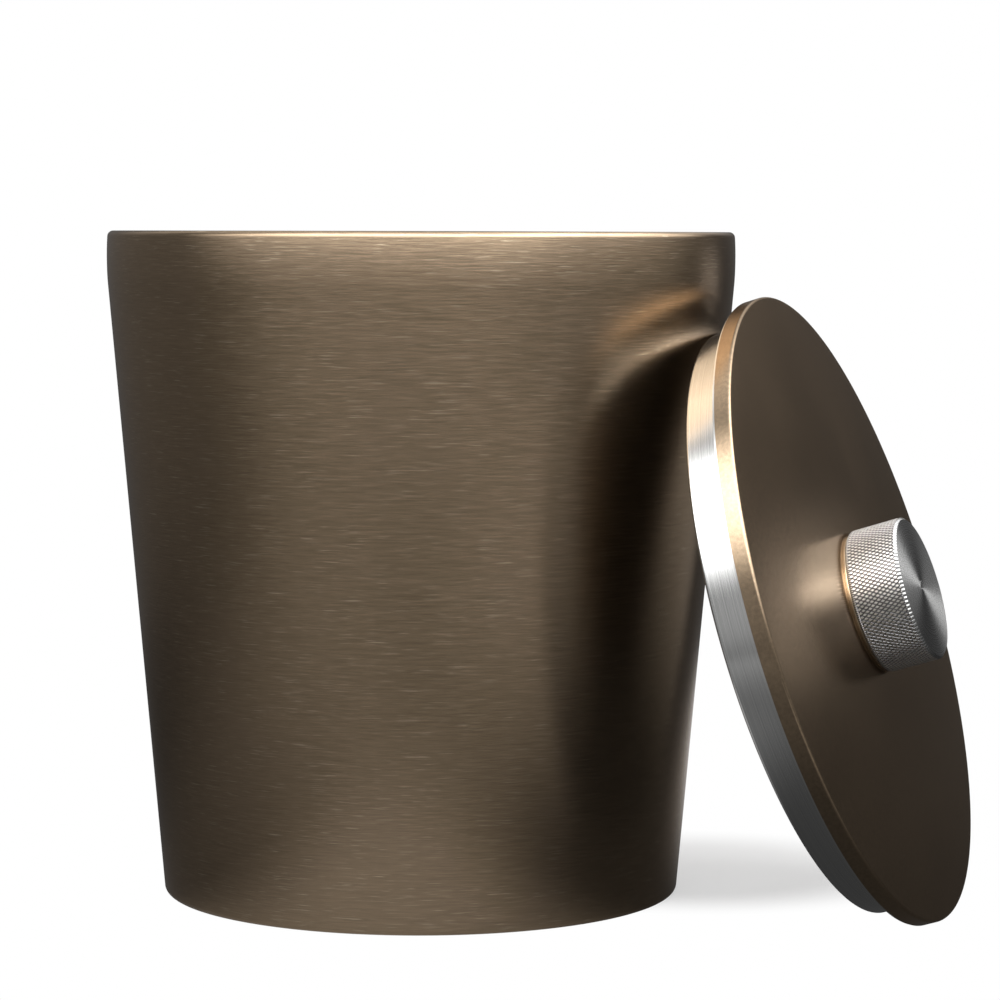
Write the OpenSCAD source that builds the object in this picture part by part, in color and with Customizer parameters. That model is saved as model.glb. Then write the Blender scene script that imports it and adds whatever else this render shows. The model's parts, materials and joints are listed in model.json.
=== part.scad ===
// Insulated ice bucket with its lid leaning on its side
// Millimetres, +Z up, origin on the floor at the centre of the bucket's base

/* [Bucket] */
// Widest outside diameter, just below the rim
rim_d = 200; // [180:1:220]
// Height of the rim above the floor
bucket_h = 211.5; // [190:0.5:240]
// Outside diameter where the line of the wall meets the floor
base_d = 164.6; // [145:0.2:178]
// Sheet thickness of the outer shell
shell_t = 0.8; // [0.5:0.1:1.2]
// Radius of the barrel curve under the rim
roll_r = 92; // [60:1:130]
// Depth below the rim at which the bucket is widest
roll_depth = 8.5; // [5:0.5:12]
// Inside radius of the bends in the shell's sheet
shell_bend = 0.3; // [0.2:0.1:0.6]
// Inside radius of the bend round the rim's outer edge
rim_bend = 1; // [0.2:0.1:1.5]
// Outside rounding of the bottom edge
base_round = 2; // [1.5:0.1:5]

/* [Mouth and liner] */
// Width of the rim, from the widest outside to the mouth
rim_w = 6; // [5:0.5:10]
// How far the rolled rim reaches down into the mouth
lip_h = 4; // [3:0.5:8]
// Straight length of the liner's mouth below the rolled rim
mouth_band = 14; // [12:1:25]
// Sheet thickness of the inner liner
liner_t = 0.8; // [0.5:0.1:1.2]
// Vacuum gap between the walls at the liner's floor
wall_gap = 8; // [5:0.5:12]
// Vacuum gap between the two bottoms
floor_gap = 18; // [10:1:30]
// Inside rounding between the liner's wall and floor
liner_round = 14; // [8:1:25]
// Inside rounding where the liner's mouth turns into its wall
band_round = 30; // [10:1:60]

/* [Base] */
// How far the pad stands out below the shell
pad_proud = 0.4; // [0.2:0.1:1.5]
// Width of the foot ring between the bottom edge and the recess
foot_ring = 8; // [5:0.5:15]
// Depth of the recess in the shell's bottom
recess_depth = 3.2; // [2.6:0.1:5]
// Thickness of the base cover
cover_t = 0.8; // [0.5:0.1:1.2]
// Clearance of the base cover and the pad in the recess
cover_gap = 0.7; // [0.7:0.1:2]
// Bevel round the pad's lower edge
pad_bevel = 0.5; // [0.2:0.1:0.8]
// Inside diameter of the pump-out dimple
dimple_d = 16; // [12:0.5:24]
// Depth of the pump-out dimple
dimple_depth = 2.4; // [2:0.1:4]
// Diameter of the pump-out hole
pump_hole_d = 3; // [2:0.5:4]
// Diameter of the glass bead
bead_d = 9; // [6:0.5:11]
// Thickness of the glass bead
bead_t = 1.2; // [0.8:0.1:1.8]

/* [Getter] */
// Distance of the getter from the bucket's axis
getter_r = 40; // [28:1:48]
// Diameter of the getter pellet
getter_d = 10; // [6:0.5:14]
// Height of the getter pellet
getter_h = 3; // [2:0.5:5]
// Width of the clip's strap
clip_w = 6; // [4:0.5:10]
// Thickness of the clip's strap
clip_t = 0.4; // [0.3:0.1:0.8]
// Length of each of the clip's feet
clip_foot = 5; // [3:0.5:8]
// Clearance between the clip's legs and the pellet
clip_gap = 0.2; // [0.1:0.1:0.5]

/* [Lid] */
// How far the lid's edge stays inside the widest outside of the rim
lid_inset = 0.3; // [0:0.1:2]
// Height of the cap's skirt
skirt_h = 5; // [4:0.1:9]
// Rise of the cap's dome from its edge to the knob's seat
dome_rise = 3.7; // [0.5:0.1:5]
// Sheet thickness of the cap
cap_t = 0.6; // [0.4:0.1:1]
// Inside radius of the bend round the cap's edge
cap_bend = 0.3; // [0.2:0.1:1.5]
// Width of the flat round the knob's collar
seat_margin = 1.5; // [0.5:0.5:5]
// Sheet thickness of the pan
pan_t = 0.6; // [0.4:0.1:1]
// Inside radius of the bends in the pan's sheet
pan_bend = 0.4; // [0.2:0.1:1.5]
// How far the pan's flange stays inside the cap's skirt
flange_inset = 0.3; // [0.1:0.1:0.4]
// Clearance between the plug and the mouth
plug_gap = 1; // [0.4:0.1:2.5]
// Depth of the plug below its flange
plug_depth = 11.6; // [8:0.2:16]
// Clearance between the foam core and the sheets around it
core_gap = 1; // [0.7:0.1:2]

/* [Knob] */
// Diameter of the knob
knob_d = 45; // [36:0.5:60]
// Height of the knob
knob_h = 16.6; // [14:0.1:26]
// Bevel round the knob's face
knob_bevel = 1.2; // [0.5:0.1:2]
// Bevel round the knob's foot
knob_foot = 1; // [0.2:0.1:1.5]
// How far the collar's edge stays inside the knob's edge
collar_inset = 0.75; // [0.25:0.05:2]
// Thickness of the collar
collar_t = 0.6; // [0.4:0.1:3]
// Thickness of the seal under the collar
seal_t = 0.3; // [0.2:0.1:1.2]
// How far the seal's edge stays inside the collar's edge
seal_inset = 1; // [0.5:0.1:3]
// Diameter of the knob's screw
screw_d = 6; // [5:0.5:8]
// Clearance round the screw in the plates it passes through
screw_gap = 0.2; // [0.1:0.05:0.4]
// Clearance round the screw in the knob's tapped hole
thread_gap = 0.05; // [0.02:0.01:0.08]
// Length of screw inside the knob
screw_grip = 9; // [6:0.5:11]
// Free length of the tapped hole past the screw's end
tap_spare = 1.5; // [0.5:0.5:2.5]
// Diameter of the screw's head
head_d = 11.5; // [10.5:0.5:15]
// Height of the screw's head
head_h = 3.3; // [2.5:0.1:5]
// Width across the flats of the screw's socket
socket_w = 4; // [3:0.5:5]
// Depth of the screw's socket
socket_depth = 2; // [1.5:0.1:2.3]
// Diameter of the backing washer inside the cap
backing_d = 30; // [18:1:40]
// Thickness of the backing washer
backing_t = 1.5; // [1:0.1:2.5]
// Outside diameter of the lock washer
lock_d = 10.5; // [10:0.5:12]
// Thickness of the lock washer
lock_t = 1.6; // [1:0.1:2]
// Width of the slit in the lock washer
lock_slit = 1.2; // [0.8:0.1:2]

/* [Lean] */
// Angle of the knob's axis above the floor
lean_tilt = 17.5; // [12:0.1:24]
// Direction of the lid round the bucket, from +X
lean_turn = -19.1; // [-180:0.1:180]
// How far the knob's axis is turned from that direction
lean_twist = -1.7; // [-5:0.1:5]
// Gap between the plug's edge and the bucket's wall
lean_gap = 0.3; // [0.3:0.1:2]

/* [Hidden] */
$fn = 96;

// Largest gap between a bend's true arc and the line between two of its points
bend_sag = 0.02;
// Overlap of a cut past the face it opens
eps = 1;

bronze = [0.37, 0.32, 0.25];
steel = [0.75, 0.75, 0.74];
dark_steel = [0.45, 0.45, 0.46];
rubber = [0.13, 0.13, 0.13];
foam = [0.93, 0.91, 0.85];
glass = [0.55, 0.62, 0.6];

// Rim and wall of the shell
shell_out = shell_bend + shell_t;
rim_out = rim_bend + shell_t;
roll_c = [rim_d / 2 - roll_r, bucket_h - roll_depth];
base_to_roll = roll_c - [base_d / 2, 0];
wall_a = 90 - heading(base_to_roll) + asin(roll_r / norm(base_to_roll));
rim_a = asin((roll_depth - rim_out) / roll_r);
roll_corner = roll_c + roll_r / cos((wall_a + rim_a) / 2) * at((rim_a - wall_a) / 2);
rim_corner = [roll_corner[0] - (bucket_h - roll_corner[1]) * tan(rim_a), bucket_h];
mouth_r = rim_d / 2 - rim_w;

// Bottom of the shell
foot_corner = [wall_r(pad_proud), pad_proud];
recess_r = foot_corner[0] - base_round - foot_ring;
recess_z = pad_proud + recess_depth;
dimple_z = recess_z + dimple_depth;
base_in_z = recess_z + shell_t;
cover_r = recess_r - cover_gap;

// Liner
band_z = bucket_h - lip_h - mouth_band;
floor_z = base_in_z + floor_gap + liner_t;
floor_r = wall_r(floor_z) - (shell_t + wall_gap + liner_t) / cos(wall_a);

// Lid, measured from the seat of its flange
lid_r = rim_d / 2 - lid_inset;
cap_out = cap_bend + cap_t;
collar_r = knob_d / 2 - collar_inset;
seat_r = collar_r + seat_margin;
dome_r = lid_r - 2 * cap_out;
dome_a = 2 * atan(dome_rise / (dome_r - seat_r));
edge_z = pan_t + skirt_h;
seat_z = edge_z + 2 * cap_out * tan(dome_a) + dome_rise;
dome_corner = [(dome_r + seat_r) / 2, seat_z];
flange_r = lid_r - flange_inset;
plug_r = mouth_r - plug_gap;
plug_out = pan_bend + pan_t;
core_r = plug_r - pan_t - core_gap;
core_z = pan_t - plug_depth;

// Stack of the knob's fastening
collar_z = seat_z + seal_t;
knob_z = collar_z + collar_t;
backing_z = seat_z - cap_t - backing_t;
lock_z = backing_z - lock_t;
screw_tip_z = knob_z + screw_grip;
screw_hole_d = screw_d + 2 * screw_gap;
tap_d = screw_d + 2 * thread_gap;

// Place of the leaning lid: its skirt stands on the floor, and its plug's edge leans on the wall,
// or its plug's face on the rim where the lid is taller than the bucket
lean_z = lid_r * cos(lean_tilt) - pan_t * sin(lean_tilt);
lean_edge = [plug_depth - plug_out, plug_r - plug_out];
lean_edge_z = lean_z - lean_edge[0] * sin(lean_tilt) + lean_edge[1] * cos(lean_tilt);
lean_wall_r = wall_r(lean_edge_z) + (plug_out + lean_gap) / cos(wall_a)
              + lean_edge[0] * cos(lean_tilt) + lean_edge[1] * sin(lean_tilt);
rim_round_c = rim_corner - [rim_out, rim_out];
lean_rim_r = rim_round_c[0] + ((rim_round_c[1] - lean_z) * sin(lean_tilt)
             + plug_depth + rim_out + lean_gap) / cos(lean_tilt);
lean_r = lean_edge_z < bucket_h - rim_out ? lean_wall_r : lean_rim_r;

function heading(v) = atan2(v[1], v[0]);
function at(a) = [cos(a), sin(a)];
function unit(v) = v / norm(v);
function to_right(v) = [v[1], -v[0]];
function turn(a, b) = atan2(a[0] * b[1] - a[1] * b[0], a * b);
function reversed(list) = [for (i = [len(list) - 1:-1:0]) list[i]];

// Outside radius of the straight wall at a height
function wall_r(z) = base_d / 2 + z * tan(wall_a);

// Arc of radius r at corner p between two headings, shifted to the right by o
function bend(p, a, b, r, o) =
    let (t = turn(a, b), s = sign(t), n = ceil(abs(t) / (2 * acos(1 - bend_sag / r))),
         c = p - a * r * tan(abs(t) / 2) - to_right(a) * r * s,
         start = heading(a) - 90 * s)
    [for (i = [0:n]) c + (r + o * s) * at(start + t * i / n)];

// One face of a sheet: a path with rounded corners, shifted to the right by o
function face(path, radii, o) =
    let (n = len(path) - 1, way = [for (i = [1:n]) unit(path[i] - path[i - 1])])
    concat([path[0] + to_right(way[0]) * o],
           [for (i = [1:n - 1]) each bend(path[i], way[i - 1], way[i], radii[i - 1], o)],
           [path[n] + to_right(way[n - 1]) * o]);

// Round sheet-metal piece: a path turned about the axis, with its thickness to the right
module spun_sheet(path, radii, t)
    rotate_extrude()
        polygon(concat(face(path, radii, 0), reversed(face(path, radii, t))));

module ring(d, hole_d, h)
    difference() {
        cylinder(d = d, h = h);
        translate([0, 0, -eps]) cylinder(d = hole_d, h = h + 2 * eps);
    }

// Puts a piece of the lid where the lid leans
module leaning()
    rotate([0, 0, lean_turn])
        translate([lean_r, 0, lean_z])
            rotate([0, 90 - lean_tilt, lean_twist])
                children();

module outer_shell()
    color(bronze)
        spun_sheet([[mouth_r, bucket_h - lip_h], [mouth_r, bucket_h], rim_corner, roll_corner, foot_corner,
                    [recess_r, pad_proud], [recess_r, recess_z], [dimple_d / 2, recess_z],
                    [dimple_d / 2, dimple_z], [pump_hole_d / 2, dimple_z]],
                   [shell_out, rim_out, roll_r, base_round, shell_out, shell_bend, shell_out, shell_bend],
                   shell_t);

module inner_liner()
    color(steel)
        spun_sheet([[mouth_r, bucket_h - lip_h], [mouth_r, band_z], [floor_r, floor_z], [0, floor_z]],
                   [band_round, liner_round], -liner_t);

module seal_bead()
    color(glass)
        translate([0, 0, dimple_z - bead_t])
            cylinder(d1 = bead_d - 2 * bead_t, d2 = bead_d, h = bead_t);

module getter()
    color(dark_steel)
        translate([getter_r, 0, base_in_z])
            cylinder(d = getter_d, h = getter_h);

module getter_clip() {
    inside = getter_d + 2 * clip_gap;
    color(steel)
        translate([getter_r - inside / 2, -clip_w / 2, base_in_z]) {
            translate([-clip_t, 0, getter_h]) cube([inside + 2 * clip_t, clip_w, clip_t]);
            for (x = [-clip_t, inside]) translate([x, 0, 0]) cube([clip_t, clip_w, getter_h]);
            for (x = [-clip_t - clip_foot, inside + clip_t]) translate([x, 0, 0]) cube([clip_foot, clip_w, clip_t]);
        }
}

module base_cover()
    color(dark_steel)
        translate([0, 0, recess_z - cover_t])
            cylinder(r = cover_r, h = cover_t);

module base_pad()
    color(rubber) {
        cylinder(r1 = cover_r - pad_bevel, r2 = cover_r, h = pad_bevel);
        translate([0, 0, pad_bevel]) cylinder(r = cover_r, h = recess_z - cover_t - pad_bevel);
    }

module lid_cap()
    color(bronze)
        leaning()
            spun_sheet([[lid_r, pan_t], [lid_r, edge_z], dome_corner, [screw_hole_d / 2, seat_z]],
                       [cap_out, (dome_r - seat_r) / sin(dome_a)], -cap_t);

module lid_pan()
    color(steel)
        leaning()
            spun_sheet([[flange_r, 0], [plug_r, 0], [plug_r, -plug_depth], [0, -plug_depth]],
                       [pan_bend, plug_out], pan_t);

module lid_core()
    color(foam)
        leaning()
            translate([0, 0, core_z])
                ring(2 * core_r, backing_d + 2 * core_gap, edge_z - cap_t - core_gap - core_z);

module knob()
    color(steel)
        leaning()
            translate([0, 0, knob_z])
                difference() {
                    union() {
                        cylinder(d1 = knob_d - 2 * knob_foot, d2 = knob_d, h = knob_foot);
                        translate([0, 0, knob_foot]) cylinder(d = knob_d, h = knob_h - knob_foot - knob_bevel);
                        translate([0, 0, knob_h - knob_bevel])
                            cylinder(d1 = knob_d, d2 = knob_d - 2 * knob_bevel, h = knob_bevel);
                    }
                    translate([0, 0, -eps]) cylinder(d = tap_d, h = screw_grip + tap_spare + eps);
                }

module knob_collar()
    color(bronze)
        leaning()
            translate([0, 0, collar_z])
                rotate_extrude() {
                    translate([screw_hole_d / 2, 0]) square([collar_r - (collar_t + screw_hole_d) / 2, collar_t]);
                    translate([collar_r - collar_t / 2, collar_t / 2]) circle(d = collar_t);
                }

module knob_seal()
    color(rubber)
        leaning()
            translate([0, 0, seat_z])
                ring(2 * (collar_r - seal_inset), screw_hole_d, seal_t);

module backing_washer()
    color(dark_steel)
        leaning()
            translate([0, 0, backing_z])
                ring(backing_d, screw_hole_d, backing_t);

module lock_washer()
    color(dark_steel)
        leaning()
            translate([0, 0, lock_z])
                difference() {
                    ring(lock_d, screw_hole_d, lock_t);
                    translate([0, -lock_slit / 2, -eps]) cube([lock_d, lock_slit, lock_t + 2 * eps]);
                }

module knob_screw()
    color(dark_steel)
        leaning()
            translate([0, 0, lock_z]) {
                cylinder(d = screw_d, h = screw_tip_z - lock_z);
                mirror([0, 0, 1])
                    difference() {
                        cylinder(d = head_d, h = head_h);
                        translate([0, 0, head_h - socket_depth])
                            cylinder(d = socket_w / cos(30), h = socket_depth + eps, $fn = 6);
                    }
            }

outer_shell();
inner_liner();
seal_bead();
getter();
getter_clip();
base_cover();
base_pad();
lid_cap();
lid_pan();
lid_core();
knob();
knob_collar();
knob_seal();
backing_washer();
lock_washer();
knob_screw();
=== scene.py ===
import json
import math
import bmesh
import bpy
from mathutils import Matrix, Vector


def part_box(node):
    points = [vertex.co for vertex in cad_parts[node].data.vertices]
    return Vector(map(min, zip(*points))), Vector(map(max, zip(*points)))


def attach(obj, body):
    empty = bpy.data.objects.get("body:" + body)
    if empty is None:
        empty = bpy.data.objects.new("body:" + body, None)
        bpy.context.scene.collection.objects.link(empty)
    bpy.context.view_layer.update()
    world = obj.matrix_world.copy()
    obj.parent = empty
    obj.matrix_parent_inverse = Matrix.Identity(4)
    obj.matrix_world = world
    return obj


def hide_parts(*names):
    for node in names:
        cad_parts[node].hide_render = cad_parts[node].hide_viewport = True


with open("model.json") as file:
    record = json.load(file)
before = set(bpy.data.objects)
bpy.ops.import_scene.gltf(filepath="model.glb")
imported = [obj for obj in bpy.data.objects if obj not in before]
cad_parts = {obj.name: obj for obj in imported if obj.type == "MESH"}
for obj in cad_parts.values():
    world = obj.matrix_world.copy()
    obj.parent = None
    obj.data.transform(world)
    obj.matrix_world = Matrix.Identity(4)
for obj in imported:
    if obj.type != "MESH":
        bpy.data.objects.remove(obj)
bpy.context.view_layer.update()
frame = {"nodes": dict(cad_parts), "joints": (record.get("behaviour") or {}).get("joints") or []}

mm = 0.001
sharpAngle = math.radians(38)
mergeWithin = 0.001 * mm
onAxis = 1e-6           # metres; a point nearer the axis has no turn of its own
roundings = {"leastSegments": 3, "segmentTurn": 9, "segmentLength": 1.5}    # degrees and mm per segment
print("frame loaded,", len(frame["nodes"]), "nodes")


# wire outline in the XZ plane, each corner a (radius, height, rounding) in mm
def drawOutline(corners, closed=False):
    bm = bmesh.new()
    along = bm.verts.layers.float.new("along")
    verts = [bm.verts.new((r * mm, 0, z * mm)) for r, z, rounding in corners]
    for a, b in zip(verts, verts[1:]):
        bm.edges.new((a, b))
    if closed:
        bm.edges.new((verts[-1], verts[0]))
    points = [v.co.copy() for v in verts]
    count = len(points)
    for i, (r, z, rounding) in enumerate(corners):
        if not rounding:
            continue
        turn = (points[i] - points[i - 1]).angle(points[(i + 1) % count] - points[i])
        segments = max(roundings["leastSegments"],
                       math.ceil(math.degrees(turn) / roundings["segmentTurn"]),
                       math.ceil(turn * rounding / roundings["segmentLength"]))
        offset = rounding * mm * math.tan(turn / 2)
        bmesh.ops.bevel(bm, geom=[verts[i]], offset=offset, offset_type='OFFSET', segments=segments,
                        profile=0.5, affect='VERTICES', material=-1)
    # distance from the first point, kept on each point for the UV map
    bm.verts.ensure_lookup_table()
    here = verts[0] if verts[0].is_valid else bm.verts[0]
    came, length = None, 0.0
    for step in range(len(bm.verts)):
        here[along] = length
        onward = [e for e in here.link_edges if e is not came]
        if not onward:
            break
        came = onward[0]
        length += came.calc_length()
        here = came.other_vert(here)
    return bm


# turns the outline round the axis; a sheet gets its thickness away from the side that shows
def lathe(bm, steps, thickness=0, showsOut=True):
    bmesh.ops.spin(bm, geom=bm.verts[:] + bm.edges[:], cent=(0, 0, 0), axis=(0, 0, 1), angle=math.tau,
                   steps=steps, use_merge=True)
    bmesh.ops.remove_doubles(bm, verts=bm.verts[:], dist=mergeWithin)
    bmesh.ops.recalc_face_normals(bm, faces=bm.faces[:])
    if thickness:
        side = max(bm.faces, key=lambda f: f.calc_center_median().xy.length * (1 - abs(f.normal.z)))
        pointsOut = side.normal.xy.dot(side.calc_center_median().xy) > 0
        if pointsOut != showsOut:
            bmesh.ops.reverse_faces(bm, faces=bm.faces[:])
        bmesh.ops.solidify(bm, geom=bm.faces[:], thickness=thickness * mm)
    return bm


# u runs along the outline and v round the axis, so the grain of a brushed piece follows its shape
def mapGrain(bm):
    along = bm.verts.layers.float["along"]
    uvMap = bm.loops.layers.uv.new("grain")
    for face in bm.faces:
        middle = face.calc_center_median()
        faceTurn = math.atan2(middle.y, middle.x)
        for loop in face.loops:
            v = loop.vert
            turn = math.atan2(v.co.y, v.co.x) if v.co.xy.length > onAxis else faceTurn
            turn += math.tau * round((faceTurn - turn) / math.tau)
            loop[uvMap].uv = (v[along], turn / math.tau)


def addPiece(name, bm, materials, body, nodes, place=None, facets=()):
    mapGrain(bm)
    for face in bm.faces:
        face.smooth = materials[face.material_index] not in facets
    for edge in bm.edges:
        if len(edge.link_faces) == 2 and edge.calc_face_angle() > sharpAngle:
            edge.smooth = False
    if place:
        bmesh.ops.transform(bm, matrix=place, verts=bm.verts[:])
    mesh = bpy.data.meshes.new(name)
    bm.to_mesh(mesh)
    bm.free()
    for material in materials:
        mesh.materials.append(material)
    piece = bpy.data.objects.new(name, mesh)
    bpy.context.scene.collection.objects.link(piece)
    shade = piece.modifiers.new("evenShade", 'WEIGHTED_NORMAL')
    shade.keep_sharp = True
    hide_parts(*nodes)
    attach(piece, body)
    print("piece", name, len(mesh.polygons), "faces")


# materials

def startMaterial(name, metallic, anisotropic=0.0):
    material = bpy.data.materials.new(name)
    material.use_nodes = True
    nodes = material.node_tree.nodes
    shader = nodes["Principled BSDF"]
    shader.inputs["Metallic"].default_value = metallic
    shader.inputs["Anisotropic"].default_value = anisotropic
    if anisotropic:
        tangent = nodes.new("ShaderNodeTangent")
        tangent.direction_type = 'UV_MAP'
        tangent.uv_map = "grain"
        material.node_tree.links.new(tangent.outputs["Tangent"], shader.inputs["Tangent"])
    return material, shader


# noise on Object coordinates, stretched by its scale on each axis
def objectNoise(material, scale, detail=3.0, roughness=0.55):
    nodes, links = material.node_tree.nodes, material.node_tree.links
    coords = nodes.new("ShaderNodeTexCoord")
    mapping = nodes.new("ShaderNodeMapping")
    mapping.inputs["Scale"].default_value = scale
    noise = nodes.new("ShaderNodeTexNoise")
    noise.inputs["Scale"].default_value = 1.0
    noise.inputs["Detail"].default_value = detail
    noise.inputs["Roughness"].default_value = roughness
    links.new(coords.outputs["Object"], mapping.inputs["Vector"])
    links.new(mapping.outputs["Vector"], noise.inputs["Vector"])
    return noise.outputs["Fac"]


# lines round the axis: noise along the outline alone
def turnedLines(material, perMetre, detail=3.0):
    nodes, links = material.node_tree.nodes, material.node_tree.links
    grain = nodes.new("ShaderNodeUVMap")
    grain.uv_map = "grain"
    split = nodes.new("ShaderNodeSeparateXYZ")
    lines = nodes.new("ShaderNodeTexNoise")
    lines.noise_dimensions = '1D'
    lines.inputs["Scale"].default_value = perMetre
    lines.inputs["Detail"].default_value = detail
    links.new(grain.outputs["UV"], split.inputs["Vector"])
    links.new(split.outputs["X"], lines.inputs["W"])
    return lines.outputs["Fac"]


def spread(material, fac, low, high, start=0.3, end=0.7, easing='LINEAR'):
    node = material.node_tree.nodes.new("ShaderNodeMapRange")
    node.interpolation_type = easing
    node.inputs["From Min"].default_value = start
    node.inputs["From Max"].default_value = end
    node.inputs["To Min"].default_value = low
    node.inputs["To Max"].default_value = high
    material.node_tree.links.new(fac, node.inputs["Value"])
    return node.outputs["Result"]


def combine(material, a, b, operation='MULTIPLY'):
    node = material.node_tree.nodes.new("ShaderNodeMath")
    node.operation = operation
    material.node_tree.links.new(a, node.inputs[0])
    material.node_tree.links.new(b, node.inputs[1])
    return node.outputs["Value"]


def colourBetween(material, fac, dark, light, start=0.3, end=0.7):
    ramp = material.node_tree.nodes.new("ShaderNodeValToRGB")
    ramp.color_ramp.elements[0].position = start
    ramp.color_ramp.elements[0].color = (*dark, 1)
    ramp.color_ramp.elements[1].position = end
    ramp.color_ramp.elements[1].color = (*light, 1)
    material.node_tree.links.new(fac, ramp.inputs["Fac"])
    return ramp.outputs["Color"]


def addBump(material, shader, height, strength, depth):
    bump = material.node_tree.nodes.new("ShaderNodeBump")
    bump.inputs["Strength"].default_value = strength
    bump.inputs["Distance"].default_value = depth
    material.node_tree.links.new(height, bump.inputs["Height"])
    material.node_tree.links.new(bump.outputs["Normal"], shader.inputs["Normal"])


bronzeLook = {
    "dark": (0.250, 0.186, 0.124),
    "light": (0.324, 0.241, 0.162),
    "scratch": (0.44, 0.36, 0.26),
    "streaks": (105, 105, 3300),    # per metre: long sideways, thin upwards
    "streakDetail": 4.0,
    "streakFineness": 0.6,
    "streakBump": 0.55,
    "streakDepth": 0.00006,
    "scratches": (130, 130, 3900),
    "scratchDetail": 1.0,
    "scratchRange": (0.63, 0.76),   # part of the noise that shows as scratches
    "patches": (14, 14, 9),
    "patchDetail": 2.0,
    "patchShare": (0.93, 1.07),
    "roughness": (0.20, 0.24),
    "anisotropic": 0.8,
    "edgeTint": (0.97, 0.92, 0.88),     # keeps the brown at a flat angle
    "satinTint": (0.90, 0.82, 0.75),
    "satinGrain": (900, 900, 900),
    "satinPatches": (18, 18, 18),
    "satinRoughness": (0.20, 0.25),
    "satinBump": 0.04,
    "satinDepth": 0.00005,
    "collarDark": (0.42, 0.33, 0.23),
    "collarLight": (0.52, 0.42, 0.30),
    "collarLines": 5000,
    "collarRoughness": (0.16, 0.26),
    "collarAnisotropic": 0.4,
}


def makeBrushedBronze():
    material, shader = startMaterial("brushedBronze", 1.0, bronzeLook["anisotropic"])
    links = material.node_tree.links
    shader.inputs["Specular Tint"].default_value = (*bronzeLook["edgeTint"], 1)
    streak = objectNoise(material, bronzeLook["streaks"], bronzeLook["streakDetail"],
                         bronzeLook["streakFineness"])
    scratch = objectNoise(material, bronzeLook["scratches"], bronzeLook["scratchDetail"])
    patches = objectNoise(material, bronzeLook["patches"], bronzeLook["patchDetail"])
    base = colourBetween(material, streak, bronzeLook["dark"], bronzeLook["light"])
    mix = material.node_tree.nodes.new("ShaderNodeMix")
    mix.data_type = 'RGBA'
    # the mix node's colour sockets share their names with its other kinds, so they go by number
    factor, under, over, mixed = mix.inputs[0], mix.inputs[6], mix.inputs[7], mix.outputs[2]
    over.default_value = (*bronzeLook["scratch"], 1)
    links.new(spread(material, scratch, 0.0, 1.0, *bronzeLook["scratchRange"]), factor)
    links.new(base, under)
    links.new(mixed, shader.inputs["Base Color"])
    rough = combine(material, spread(material, streak, *bronzeLook["roughness"]),
                    spread(material, patches, *bronzeLook["patchShare"]))
    links.new(rough, shader.inputs["Roughness"])
    addBump(material, shader, streak, bronzeLook["streakBump"], bronzeLook["streakDepth"])
    return material


def makeSatinBronze():
    material, shader = startMaterial("satinBronze", 1.0)
    links = material.node_tree.links
    shader.inputs["Specular Tint"].default_value = (*bronzeLook["satinTint"], 1)
    grain = objectNoise(material, bronzeLook["satinGrain"])
    patches = objectNoise(material, bronzeLook["satinPatches"])
    colour = colourBetween(material, grain, bronzeLook["dark"], bronzeLook["light"])
    links.new(colour, shader.inputs["Base Color"])
    links.new(spread(material, patches, *bronzeLook["satinRoughness"]), shader.inputs["Roughness"])
    addBump(material, shader, grain, bronzeLook["satinBump"], bronzeLook["satinDepth"])
    return material


def makeCollarBronze():
    material, shader = startMaterial("collarBronze", 1.0, bronzeLook["collarAnisotropic"])
    links = material.node_tree.links
    lines = turnedLines(material, bronzeLook["collarLines"])
    colour = colourBetween(material, lines, bronzeLook["collarDark"], bronzeLook["collarLight"])
    links.new(colour, shader.inputs["Base Color"])
    links.new(spread(material, lines, *bronzeLook["collarRoughness"]), shader.inputs["Roughness"])
    return material


steelLook = {
    "dark": (0.50, 0.50, 0.495),
    "light": (0.60, 0.60, 0.59),
    "lines": 2600,                  # turned lines per metre of outline
    "lineBump": 0.02,
    "lineDepth": 0.00002,
    "patches": (22, 22, 22),
    "patchDetail": 2.0,
    "patchShare": (0.9, 1.1),
    "roughness": (0.18, 0.21),
    "anisotropic": 0.3,
    "knurlWear": (420, 420, 420),
    "knurlRoughness": (0.32, 0.40),
    "knurlDark": (0.74, 0.74, 0.73),
    "knurlLight": (0.86, 0.86, 0.85),
    "faceDark": (0.33, 0.33, 0.327),
    "faceLight": (0.41, 0.41, 0.405),
    "faceLines": 6500,
    "faceDetail": 5.0,
    "faceBump": 0.06,
    "faceDepth": 0.00003,
    "faceRoughness": (0.25, 0.29),
    "faceAnisotropic": 1.0,
}


def makeSpunSteel():
    material, shader = startMaterial("spunSteel", 1.0, steelLook["anisotropic"])
    links = material.node_tree.links
    lines = turnedLines(material, steelLook["lines"])
    patches = objectNoise(material, steelLook["patches"], steelLook["patchDetail"])
    colour = colourBetween(material, lines, steelLook["dark"], steelLook["light"])
    links.new(colour, shader.inputs["Base Color"])
    rough = combine(material, spread(material, lines, *steelLook["roughness"]),
                    spread(material, patches, *steelLook["patchShare"]))
    links.new(rough, shader.inputs["Roughness"])
    addBump(material, shader, lines, steelLook["lineBump"], steelLook["lineDepth"])
    return material


def makeKnurlSteel():
    material, shader = startMaterial("knurlSteel", 1.0)
    links = material.node_tree.links
    wear = objectNoise(material, steelLook["knurlWear"])
    colour = colourBetween(material, wear, steelLook["knurlDark"], steelLook["knurlLight"])
    links.new(colour, shader.inputs["Base Color"])
    links.new(spread(material, wear, *steelLook["knurlRoughness"]), shader.inputs["Roughness"])
    return material


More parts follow.
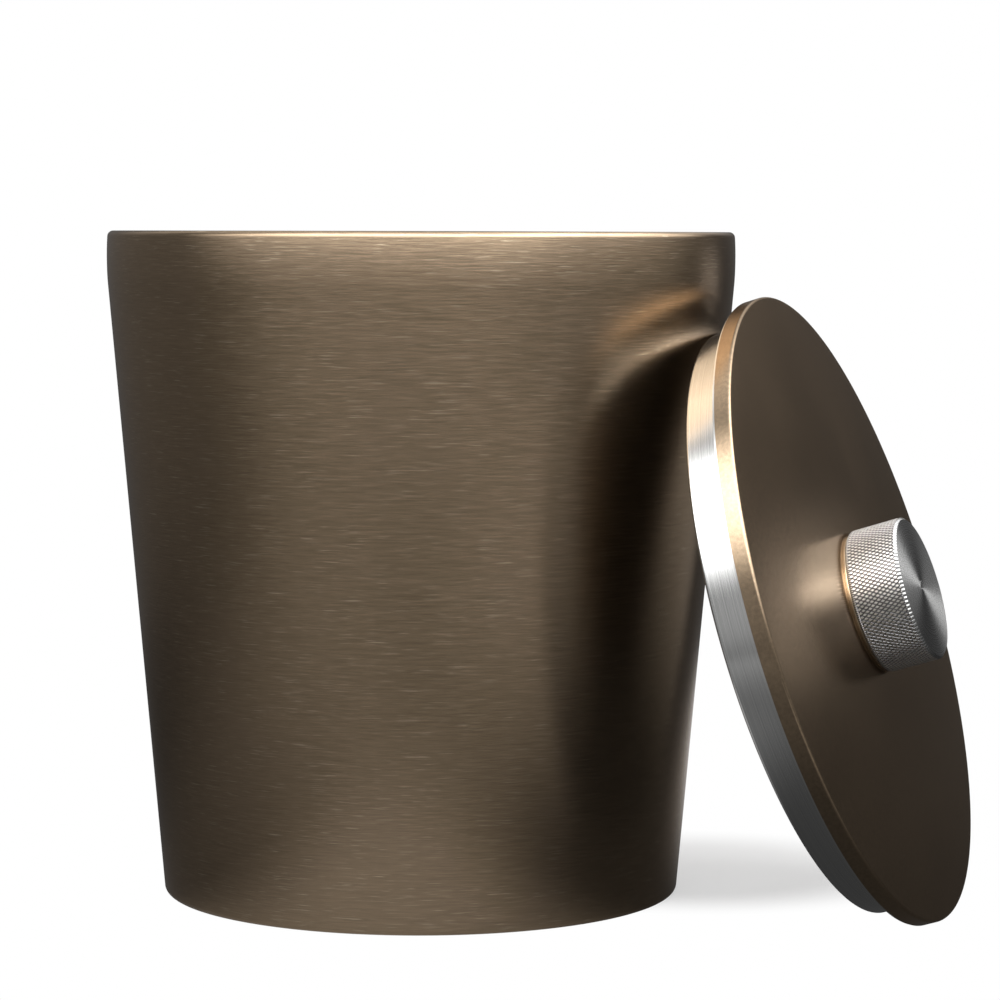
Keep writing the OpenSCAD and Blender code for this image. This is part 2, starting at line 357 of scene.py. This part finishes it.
def makeTurnedSteel():
    material, shader = startMaterial("turnedSteel", 1.0, steelLook["faceAnisotropic"])
    links = material.node_tree.links
    lines = turnedLines(material, steelLook["faceLines"], steelLook["faceDetail"])
    colour = colourBetween(material, lines, steelLook["faceDark"], steelLook["faceLight"])
    links.new(colour, shader.inputs["Base Color"])
    links.new(spread(material, lines, *steelLook["faceRoughness"]), shader.inputs["Roughness"])
    addBump(material, shader, lines, steelLook["faceBump"], steelLook["faceDepth"])
    return material


# finishes of the small pieces: base colours, grain per metre, roughness and strength of the bump
finishLook = {
    # the dark steel is the own colour of the hidden getter, cover and washer; on the knob's tooth
    # flanks it is painted shade in the knurl's grooves
    "darkSteelAndGrooveShade": {"metallic": 1.0, "dark": (0.16, 0.16, 0.165), "light": (0.23, 0.23, 0.235),
                  "grain": 700, "roughness": (0.35, 0.5), "bump": 0.08},
    "brightSteel": {"metallic": 1.0, "dark": (0.5, 0.5, 0.49), "light": (0.6, 0.6, 0.59),
                    "grain": 900, "roughness": (0.22, 0.34), "bump": 0.05},
    "softRubber": {"metallic": 0.0, "dark": (0.012, 0.012, 0.012), "light": (0.022, 0.022, 0.022),
                   "grain": 1500, "roughness": (0.55, 0.75), "bump": 0.25},
    "coreFoam": {"metallic": 0.0, "dark": (0.76, 0.72, 0.60), "light": (0.86, 0.83, 0.72),
                 "grain": 420, "roughness": (0.8, 0.95), "bump": 0.5},
    "sealGlass": {"metallic": 0.0, "dark": (0.24, 0.31, 0.28), "light": (0.30, 0.38, 0.35),
                  "grain": 300, "roughness": (0.08, 0.16), "bump": 0.05},
}
finishDepth = 0.0002    # of the bump, in metres


def makeFinish(name):
    look = finishLook[name]
    material, shader = startMaterial(name, look["metallic"])
    links = material.node_tree.links
    grain = objectNoise(material, (look["grain"],) * 3)
    colour = colourBetween(material, grain, look["dark"], look["light"])
    links.new(colour, shader.inputs["Base Color"])
    links.new(spread(material, grain, *look["roughness"]), shader.inputs["Roughness"])
    addBump(material, shader, grain, look["bump"], finishDepth)
    return material


brushedBronze = makeBrushedBronze()
satinBronze = makeSatinBronze()
collarBronze = makeCollarBronze()
spunSteel = makeSpunSteel()
knurlSteel = makeKnurlSteel()
turnedSteel = makeTurnedSteel()
finishes = {name: makeFinish(name) for name in finishLook}
print("materials made")

# bucket: outer shell, sizes in mm as in the frame

shellLook = {
    "rimRadius": 100.0,     # widest, under the rim
    "height": 211.5,
    "baseRadius": 82.3,     # where the wall's line meets the floor
    "sheet": 0.8,
    "rollRadius": 92.0,     # barrel curve under the rim
    "rollDepth": 8.5,
    "bendIn": 0.3,
    "bendOut": 1.1,
    "rimRound": 1.8,
    "footRound": 2.0,
    "mouthRadius": 94.0,
    "lip": 4.0,
    "footZ": 0.4,
    "footRing": 8.0,
    "recessZ": 3.6,
    "dimpleRadius": 8.0,
    "dimpleZ": 6.0,
    "pumpHole": 1.5,
    "steps": 288,
}


def makeShell(look):
    middle = Vector((look["rimRadius"] - look["rollRadius"], look["height"] - look["rollDepth"]))
    toRoll = middle - Vector((look["baseRadius"], 0))
    wallLean = math.pi / 2 - math.atan2(toRoll.y, toRoll.x)
    wallLean += math.asin(look["rollRadius"] / toRoll.length)
    rimLean = math.asin((look["rollDepth"] - look["rimRound"]) / look["rollRadius"])
    reach = look["rollRadius"] / math.cos((wallLean + rimLean) / 2)
    turn = (rimLean - wallLean) / 2
    rollCorner = middle + reach * Vector((math.cos(turn), math.sin(turn)))
    rimCorner = rollCorner.x - (look["height"] - rollCorner.y) * math.tan(rimLean)
    footCorner = look["baseRadius"] + look["footZ"] * math.tan(wallLean)
    recess = footCorner - look["footRound"] - look["footRing"]
    bendIn, bendOut = look["bendIn"], look["bendOut"]
    bm = drawOutline([
        (look["mouthRadius"], look["height"] - look["lip"], 0),
        (look["mouthRadius"], look["height"], bendOut),
        (rimCorner, look["height"], look["rimRound"]),
        (rollCorner.x, rollCorner.y, look["rollRadius"]),
        (footCorner, look["footZ"], look["footRound"]),
        (recess, look["footZ"], bendOut),
        (recess, look["recessZ"], bendIn),
        (look["dimpleRadius"], look["recessZ"], bendOut),
        (look["dimpleRadius"], look["dimpleZ"], bendIn),
        (look["pumpHole"], look["dimpleZ"], 0),
    ])
    return lathe(bm, look["steps"], look["sheet"])


addPiece("bucketShell", makeShell(shellLook), [brushedBronze], "bucket", ["outer_shell"])

# bucket: inner liner

linerLook = {
    "mouthRadius": 94.0,
    "top": 207.5,
    "bandZ": 193.5,
    "bandRound": 30.0,
    "floorRadius": 74.73,
    "floorZ": 23.2,
    "floorRound": 14.0,
    "sheet": 0.8,
    "steps": 240,
}


def makeLiner(look):
    bm = drawOutline([
        (look["mouthRadius"], look["top"], 0),
        (look["mouthRadius"], look["bandZ"], look["bandRound"]),
        (look["floorRadius"], look["floorZ"], look["floorRound"]),
        (0, look["floorZ"], 0),
    ])
    return lathe(bm, look["steps"], look["sheet"], showsOut=False)


addPiece("iceLiner", makeLiner(linerLook), [spunSteel], "bucket", ["inner_liner"])

# bucket: pad under the base

padLook = {"radius": 71.63, "lowRound": 0.5, "topRound": 0.2, "top": 2.8, "steps": 160}


def makePad(look):
    bm = drawOutline([
        (0, 0, 0),
        (look["radius"], 0, look["lowRound"]),
        (look["radius"], look["top"], look["topRound"]),
        (0, look["top"], 0),
    ])
    return lathe(bm, look["steps"])


addPiece("basePad", makePad(padLook), [finishes["softRubber"]], "bucket", ["base_pad"])

# lid: where it leans, from the joint's axis and the washer on it

leanLook = {"washerMid": 8.129}     # height of the washer's middle over the flange's underside

lidAxis = Vector(frame["joints"][0]["axis"]).normalized()
washerLow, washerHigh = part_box("backing_washer")
lidOrigin = (washerLow + washerHigh) / 2 - lidAxis * leanLook["washerMid"] * mm
lidSide = Vector((0, 0, 1)).cross(lidAxis).normalized()
lidUp = lidAxis.cross(lidSide)
lidPlace = Matrix.Translation(lidOrigin) @ Matrix((lidSide, lidUp, lidAxis)).transposed().to_4x4()

capLook = {
    "radius": 99.7,
    "flange": 0.6,          # height of the skirt's lower edge
    "skirt": 5.0,
    "edgeRound": 0.9,
    "domeRise": 3.7,
    "seatRadius": 23.25,
    "sheet": 0.6,
    "screwHole": 3.2,
    "steps": 288,
}


def makeCap(look):
    edgeZ = look["flange"] + look["skirt"]
    domeRadius = look["radius"] - 2 * look["edgeRound"]
    domeLean = 2 * math.atan(look["domeRise"] / (domeRadius - look["seatRadius"]))
    seatZ = edgeZ + 2 * look["edgeRound"] * math.tan(domeLean) + look["domeRise"]
    domeCurve = (domeRadius - look["seatRadius"]) / math.sin(domeLean)
    bm = drawOutline([
        (look["radius"], look["flange"], 0),
        (look["radius"], edgeZ, look["edgeRound"]),
        ((domeRadius + look["seatRadius"]) / 2, seatZ, domeCurve),
        (look["screwHole"], seatZ, 0),
    ])
    return lathe(bm, look["steps"], look["sheet"])


addPiece("lidCap", makeCap(capLook), [satinBronze], "lid", ["lid_cap"], lidPlace)

panLook = {
    "flangeRadius": 99.4,
    "plugRadius": 93.0,
    "plugDepth": 11.6,
    "bendIn": 0.4,
    "bendOut": 1.0,
    "sheet": 0.6,
    "steps": 288,
}


def makePan(look):
    bm = drawOutline([
        (look["flangeRadius"], 0, 0),
        (look["plugRadius"], 0, look["bendIn"]),
        (look["plugRadius"], -look["plugDepth"], look["bendOut"]),
        (0, -look["plugDepth"], 0),
    ])
    return lathe(bm, look["steps"], look["sheet"])


addPiece("lidPan", makePan(panLook), [spunSteel], "lid", ["lid_pan"], lidPlace)

# the collar's edge is turned down over the seal to the cap

collarLook = {
    "radius": 21.75,
    "seat": 9.49,
    "low": 9.779,
    "high": 10.379,
    "round": 0.29,
    "edge": 0.75,           # thickness of the part that is turned down
    "edgeRound": 0.05,
    "hole": 3.2,
    "steps": 192,
}


def makeCollar(look):
    inside = look["radius"] - look["edge"]
    bm = drawOutline([
        (look["hole"], look["low"], 0),
        (inside, look["low"], 0),
        (inside, look["seat"], look["edgeRound"]),
        (look["radius"], look["seat"], look["edgeRound"]),
        (look["radius"], look["high"], look["round"]),
        (look["hole"], look["high"], 0),
    ], closed=True)
    return lathe(bm, look["steps"])


addPiece("knobCollar", makeCollar(collarLook), [collarBronze], "lid", ["knob_collar"],
         lidPlace)

sealLook = {"radius": 20.75, "low": 9.479, "high": 9.779, "round": 0.1, "hole": 3.2, "steps": 160}


def makeSeal(look):
    bm = drawOutline([
        (look["hole"], look["low"], 0),
        (look["radius"], look["low"], look["round"]),
        (look["radius"], look["high"], look["round"]),
        (look["hole"], look["high"], 0),
    ], closed=True)
    return lathe(bm, look["steps"])


addPiece("knobSeal", makeSeal(sealLook), [finishes["softRubber"]], "lid", ["knob_seal"],
         lidPlace)

# knob: one diamond tooth copied round and along, then cut to length and closed

knobLook = {
    "radius": 22.5,         # over the teeth
    "low": 10.379,
    "high": 26.979,
    "topBevel": 0.8,
    "footRound": 1.0,
    "footSteps": 4,
    "teeth": 108,           # round the knob
    "rowStep": 1.11,        # from one row of teeth to the next, which is turned by half a tooth
    "depth": 0.30,
    "flank": 0.20,          # width of a tooth's sloping sides, round its flat top
    "mergeWithin": 0.002,
    "faceRings": (0.8, 0.55, 0.3, 0.1),     # shares of the face's radius
}
# the third finish is painted shade: dark steel on the teeth's sloping sides, for the shade in the
# knurl's grooves
knobMaterials = [knurlSteel, turnedSteel, finishes["darkSteelAndGrooveShade"]]
faceSlot, shadedFlankSlot = 1, 2      # places in that list; a tooth's flat top keeps the first


def makeKnob(look):
    bm = bmesh.new()
    along = bm.verts.layers.float.new("along")
    halfTurn = math.pi / look["teeth"]
    root = (look["radius"] - look["depth"]) * mm
    step = look["rowStep"] * mm
    side = (root * math.cos(halfTurn), root * math.sin(halfTurn))
    tooth = bm.faces.new([bm.verts.new(co) for co in (
        (root, 0, -step), (side[0], side[1], 0), (root, 0, step), (side[0], -side[1], 0))])
    tooth.normal_update()
    flanks = bmesh.ops.inset_individual(bm, faces=[tooth], thickness=look["flank"] * mm,
                                        depth=look["depth"] * mm, use_even_offset=True)["faces"]
    # the sloping sides take the dark steel: painted shade in the grooves between the teeth
    for face in flanks:
        face.material_index = shadedFlankSlot
    bmesh.ops.spin(bm, geom=bm.verts[:] + bm.edges[:] + bm.faces[:], cent=(0, 0, 0), axis=(0, 0, 1),
                   angle=math.tau - 2 * halfTurn, steps=look["teeth"] - 1, use_duplicate=True)
    row = bm.verts[:] + bm.edges[:] + bm.faces[:]
    low, high = look["low"] + look["footRound"], look["high"] - look["topBevel"]
    rows = math.ceil((high - low) / look["rowStep"]) + 1
    for i in range(1, rows + 1):
        copied = bmesh.ops.duplicate(bm, geom=row)["geom"]
        moved = [g for g in copied if isinstance(g, bmesh.types.BMVert)]
        turn = Matrix.Rotation(halfTurn * (i % 2), 4, 'Z')
        bmesh.ops.transform(bm, matrix=Matrix.Translation((0, 0, i * step)) @ turn, verts=moved)
    bmesh.ops.translate(bm, verts=bm.verts[:], vec=(0, 0, low * mm - step / 2))
    bmesh.ops.remove_doubles(bm, verts=bm.verts[:], dist=look["mergeWithin"] * mm)
    for height, way in ((low, -1), (high, 1)):
        bmesh.ops.bisect_plane(bm, geom=bm.verts[:] + bm.edges[:] + bm.faces[:], dist=mergeWithin,
                               plane_co=(0, 0, height * mm), plane_no=(0, 0, way), clear_outer=True)

    def extrudeRing(edges, radius, height):
        made = bmesh.ops.extrude_edge_only(bm, edges=edges)["geom"]
        for v in [g for g in made if isinstance(g, bmesh.types.BMVert)]:
            out = v.co.xy.normalized() * radius * mm
            v.co = (out.x, out.y, height * mm)
        return [g for g in made if isinstance(g, bmesh.types.BMEdge)]

    openEdges = [e for e in bm.edges if e.is_boundary]
    foot = [e for e in openEdges if e.verts[0].co.z < (low + high) / 2 * mm]
    top = [e for e in openEdges if e not in foot]
    for i in range(1, look["footSteps"] + 1):
        turn = math.pi / 2 * i / look["footSteps"]
        inward = look["footRound"] * (1 - math.cos(turn))
        down = look["footRound"] * math.sin(turn)
        foot = extrudeRing(foot, look["radius"] - inward, low - down)
    bmesh.ops.edgeloop_fill(bm, edges=foot)
    faceRadius = look["radius"] - look["topBevel"]
    top = extrudeRing(top, faceRadius, look["high"])
    for share in look["faceRings"]:
        top = extrudeRing(top, faceRadius * share, look["high"])
    bmesh.ops.edgeloop_fill(bm, edges=top)
    bmesh.ops.recalc_face_normals(bm, faces=bm.faces[:])
    for v in bm.verts:
        v[along] = v.co.z - v.co.xy.length
    for face in bm.faces:
        if face.calc_center_median().z > high * mm:
            face.material_index = faceSlot
    return bm


addPiece("lidKnob", makeKnob(knobLook), knobMaterials, "lid", ["knob"], lidPlace,
         facets=[knurlSteel, finishes["darkSteelAndGrooveShade"]])

# finishes of the nodes that stay

nodeFinish = {
    "seal_bead": "sealGlass",
    "getter": "darkSteelAndGrooveShade",
    "getter_clip": "brightSteel",
    "base_cover": "darkSteelAndGrooveShade",
    "lid_core": "coreFoam",
    "backing_washer": "brightSteel",
    "lock_washer": "darkSteelAndGrooveShade",
    "knob_screw": "brightSteel",
}
for node, finish in nodeFinish.items():
    for materialSlot in frame["nodes"][node].material_slots:
        materialSlot.material = finishes[finish]
print("node finishes set")

# studio: pale floor, soft lamps for its shadow, and a dome of soft panels that only reflections show

studio = {
    "floorHalf": 12.0,
    "white": (1.0, 1.0, 1.0),
    "shadowMiddle": (0.09, 0.03, 0.0),  # the floor takes the object's shadow inside this oval
    "shadowHalf": (0.085, 0.08, 1.0),
    "shareNear": 0.55,              # how much of the floor's white is its own at its middle
    "near": 0.5,
    "world": 0.10,
    "aim": (0.04, 0.0, 0.11),
}
# turns are degrees from the back (+Y) towards the right (+X)
lamps = {
    "topLamp": {"turn": 180, "rise": 88, "away": 1.15, "size": (2.4, 2.2), "radiance": 0.8},
    "frontLamp": {"turn": 175, "rise": 21, "away": 1.6, "size": (2.3, 0.75), "radiance": 2.2},
    "leftLamp": {"turn": -114, "rise": 42, "away": 1.25, "size": (0.46, 0.40), "radiance": 7.0},
    "rightLamp": {"turn": 96, "rise": 43, "away": 1.25, "size": (0.42, 0.65), "radiance": 6.0},
}
dome = {
    "reach": 0.6,
    "steps": (96, 48),
    "low": 0.068,                   # glow of its wall at the aim's height and higher up
    "high": 0.17,
    "highShare": 0.5,
    "floorInside": 0.079,           # its floor starts here, under the bucket's foot
    "floorOutside": 0.65,
    "floorLift": 0.0003,
    "floorLow": 0.054,
    "softFrom": 0.2,                # a panel fades from this share of its half size to its edge
}
# half sizes are shares of the dome's reach
panels = {
    "frontPanel": {"turn": -162, "rise": 43, "half": (1.12, 0.55), "level": 7.0},
    "rightPanel": {"turn": 112, "rise": 46, "half": (0.91, 0.55), "level": 5.0},
    "highRightPanel": {"turn": 91, "rise": 63, "half": (1.40, 0.50), "level": 1.6},
    "topPanel": {"turn": -141, "rise": 88, "half": (1.39, 0.50), "level": 1.6},
    "wideRightPanel": {"turn": 128, "rise": 33, "half": (1.38, 0.95), "level": 0.43},
    "wideLeftPanel": {"turn": -88, "rise": 15, "half": (1.40, 0.80), "level": 0.12},
    "lowFrontPanel": {"turn": -158, "rise": 1.8, "half": (1.0, 0.28), "level": 0.38},
    "lowBackPanel": {"turn": 57, "rise": 5.4, "half": (0.24, 0.094), "level": 0.57},
}
# lighter patches of its floor, in metres
patches = {
    "frontPatch": {"place": (-0.016, -0.127), "half": (0.119, 0.148), "level": 0.41},
    "backPatch": {"place": (0.065, 0.363), "half": (0.247, 0.391), "level": 0.70},
    "leftPatch": {"place": (-0.29, -0.76), "half": (0.53, 0.97), "level": 0.455},
    "rightPatch": {"place": (0.355, -0.53), "half": (0.46, 0.52), "level": 0.63},
}


def towards(turn, rise):
    turn, rise = math.radians(turn), math.radians(rise)
    return Vector((math.sin(turn) * math.cos(rise), math.cos(turn) * math.cos(rise), math.sin(rise)))


# 1 for the rays that see the background as white
def whiteRays(material):
    path = material.node_tree.nodes.new("ShaderNodeLightPath")
    total = path.outputs["Is Camera Ray"]
    for ray in ("Is Glossy Ray", "Is Transmission Ray"):
        total = combine(material, total, path.outputs[ray], 'MAXIMUM')
    return total


# 0 at the oval's middle, 1 at its edge
def ovalDistance(material, middle, turned, half):
    nodes, links = material.node_tree.nodes, material.node_tree.links
    coords = nodes.new("ShaderNodeTexCoord")
    mapping = nodes.new("ShaderNodeMapping")
    mapping.vector_type = 'TEXTURE'
    mapping.inputs["Location"].default_value = middle
    mapping.inputs["Rotation"].default_value = turned
    mapping.inputs["Scale"].default_value = half
    distance = nodes.new("ShaderNodeVectorMath")
    distance.operation = 'LENGTH'
    links.new(coords.outputs["Object"], mapping.inputs["Vector"])
    links.new(mapping.outputs["Vector"], distance.inputs[0])
    return distance.outputs["Value"]


def addStage(name, bm, material):
    mesh = bpy.data.meshes.new(name)
    bm.to_mesh(mesh)
    bm.free()
    mesh.materials.append(material)
    thing = bpy.data.objects.new(name, mesh)
    bpy.context.scene.collection.objects.link(thing)
    return thing


def makeFloor():
    material = bpy.data.materials.new("paleFloor")
    material.use_nodes = True
    nodes, links = material.node_tree.nodes, material.node_tree.links
    nodes.clear()
    oval = ovalDistance(material, studio["shadowMiddle"], (0, 0, 0), studio["shadowHalf"])
    share = spread(material, oval, studio["shareNear"], 1.0, studio["near"], 1.0, 'SMOOTHSTEP')
    paint = nodes.new("ShaderNodeBsdfDiffuse")
    paint.inputs["Color"].default_value = (*studio["white"], 1)
    glow = nodes.new("ShaderNodeEmission")
    glow.inputs["Color"].default_value = (*studio["white"], 1)
    links.new(whiteRays(material), glow.inputs["Strength"])
    mix = nodes.new("ShaderNodeMixShader")
    links.new(share, mix.inputs["Fac"])
    links.new(paint.outputs["BSDF"], mix.inputs[1])
    links.new(glow.outputs["Emission"], mix.inputs[2])
    out = nodes.new("ShaderNodeOutputMaterial")
    links.new(mix.outputs["Shader"], out.inputs["Surface"])
    bm = bmesh.new()
    bmesh.ops.create_grid(bm, x_segments=2, y_segments=2, size=studio["floorHalf"])
    addStage("studioFloor", bm, material)


# each oval is a middle, a rotation, half sizes and a level
def addGlow(name, bm, low, high, ovals):
    material = bpy.data.materials.new(name)
    material.use_nodes = True
    nodes, links = material.node_tree.nodes, material.node_tree.links
    nodes.clear()
    coords = nodes.new("ShaderNodeTexCoord")
    split = nodes.new("ShaderNodeSeparateXYZ")
    links.new(coords.outputs["Object"], split.inputs["Vector"])
    start = studio["aim"][2]
    end = start + dome["highShare"] * dome["reach"]
    level = spread(material, split.outputs["Z"], low, high, start, end, 'SMOOTHSTEP')
    for place, turned, half, strength in ovals:
        oval = ovalDistance(material, place, turned, half)
        soft = spread(material, oval, strength, 0.0, dome["softFrom"], 1.0, 'SMOOTHSTEP')
        level = combine(material, level, soft, 'ADD')
    emission = nodes.new("ShaderNodeEmission")
    links.new(level, emission.inputs["Strength"])
    out = nodes.new("ShaderNodeOutputMaterial")
    links.new(emission.outputs["Emission"], out.inputs["Surface"])
    thing = addStage(name, bm, material)
    # only reflections show it: the floor keeps its light and its shadow
    thing.visible_camera = False
    thing.visible_diffuse = False
    thing.visible_shadow = False


def makeDome():
    aim = Vector(studio["aim"])
    ovals = []
    for look in panels.values():
        away = towards(look["turn"], look["rise"])
        half = Vector((1.0, *look["half"])) * dome["reach"]
        facing = away.to_track_quat('X', 'Z').to_euler()
        ovals.append((aim + away * dome["reach"], facing, half, look["level"]))
    bm = bmesh.new()
    bmesh.ops.create_uvsphere(bm, u_segments=dome["steps"][0], v_segments=dome["steps"][1],
                              radius=dome["reach"], matrix=Matrix.Translation(aim))
    bmesh.ops.bisect_plane(bm, geom=bm.verts[:] + bm.edges[:] + bm.faces[:], plane_co=(0, 0, 0),
                           plane_no=(0, 0, 1), clear_inner=True)
    addGlow("domeWall", bm, dome["low"], dome["high"], ovals)

    ovals = []
    for look in patches.values():
        ovals.append(((*look["place"], 0), (0, 0, 0), (*look["half"], 1.0), look["level"]))
    bm = bmesh.new()
    bmesh.ops.create_circle(bm, segments=dome["steps"][0], radius=dome["floorInside"],
                            matrix=Matrix.Translation((0, 0, dome["floorLift"])))
    made = bmesh.ops.extrude_edge_only(bm, edges=bm.edges[:])["geom"]
    grow = dome["floorOutside"] / dome["floorInside"]
    outer = [g for g in made if isinstance(g, bmesh.types.BMVert)]
    bmesh.ops.scale(bm, verts=outer, vec=(grow, grow, 1))
    addGlow("domeFloor", bm, dome["floorLow"], dome["floorLow"], ovals)


def makeLamp(name, look):
    lamp = bpy.data.lights.new(name, 'AREA')
    lamp.shape = 'RECTANGLE'
    lamp.size, lamp.size_y = look["size"]
    lamp.energy = look["radiance"] * math.pi * lamp.size * lamp.size_y
    away = towards(look["turn"], look["rise"])
    place = Matrix.Translation(Vector(studio["aim"]) + away * look["away"])
    thing = bpy.data.objects.new(name, lamp)
    thing.matrix_world = place @ away.to_track_quat('Z', 'Y').to_matrix().to_4x4()
    thing.visible_camera = False
    thing.visible_glossy = False
    bpy.context.scene.collection.objects.link(thing)


def makeWorld():
    world = bpy.data.worlds.new("studioWorld")
    world.use_nodes = True
    nodes, links = world.node_tree.nodes, world.node_tree.links
    back = nodes["Background"]
    back.inputs["Color"].default_value = (*studio["white"], 1)
    links.new(spread(world, whiteRays(world), studio["world"], 1.0, 0.0, 1.0), back.inputs["Strength"])
    bpy.context.scene.world = world


makeFloor()
makeDome()
for lampName, lampLook in lamps.items():
    makeLamp(lampName, lampLook)
makeWorld()
print("studio ready")

# camera at the photograph's place

cameraLook = {
    "place": (0.0052142, -1.1075567, 0.2105395),
    "turn": 1.034,          # towards +X, degrees
    "tip": 4.3869,          # down
    "roll": 0.1611,
    "lens": 124.54,
    "sensor": 36.0,
    "clipStart": 0.01,
}


def makeCamera(look):
    turn, tip, roll = (math.radians(look[k]) for k in ("turn", "tip", "roll"))
    ahead = Vector((math.sin(turn) * math.cos(tip), math.cos(turn) * math.cos(tip), -math.sin(tip)))
    right = Vector((math.cos(turn), -math.sin(turn), 0))
    up = right.cross(ahead)
    rolledRight = math.cos(roll) * right + math.sin(roll) * up
    rolledUp = math.cos(roll) * up - math.sin(roll) * right
    data = bpy.data.cameras.new("photoCamera")
    data.sensor_fit = 'HORIZONTAL'
    data.sensor_width = look["sensor"]
    data.lens = look["lens"]
    data.clip_start = look["clipStart"]
    camera = bpy.data.objects.new("photoCamera", data)
    turned = Matrix((rolledRight, rolledUp, -ahead)).transposed().to_4x4()
    camera.matrix_world = Matrix.Translation(Vector(look["place"])) @ turned
    bpy.context.scene.collection.objects.link(camera)
    bpy.context.scene.camera = camera


makeCamera(cameraLook)
bpy.context.scene.view_settings.view_transform = 'Standard'

bpy.context.view_layer.update()
